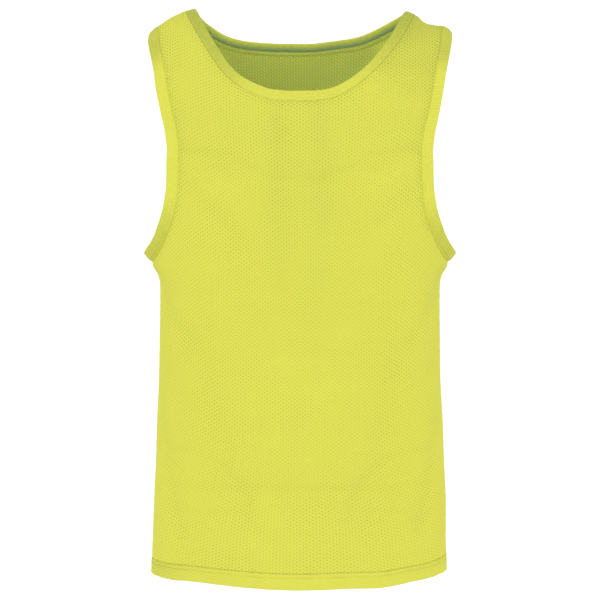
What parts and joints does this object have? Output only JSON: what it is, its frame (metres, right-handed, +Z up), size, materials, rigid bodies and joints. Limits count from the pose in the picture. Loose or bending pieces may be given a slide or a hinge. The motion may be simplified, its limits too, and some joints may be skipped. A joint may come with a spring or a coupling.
{
  "type": "mesh training bib",
  "caption": "Sleeveless mesh sports bib with a bound scoop neck, bound armholes and a turned-up hem, filled out as if worn, hollow and open.",
  "frame": {"origin": "midway between the two shoulders at the height of the neck end of the shoulder seams, where the bib is held", "axes": "+Z up from hem to shoulders, -Y out of the front, +X toward the wearer's left"},
  "size_m": [0.3728, 0.2373, 0.6826],
  "materials": {
    "mesh_cloth": "matte fluorescent yellow knitted mesh",
    "band_cloth": "matte fluorescent yellow folded binding"
  },
  "bodies": {
    "root": {"front_body": "mesh_cloth", "front_chest": "mesh_cloth", "back_body": "mesh_cloth", "back_chest": "mesh_cloth", "neck_binding": "band_cloth", "armhole_binding_left": "band_cloth", "armhole_binding_right": "band_cloth"}
  },
  "joints": []
}
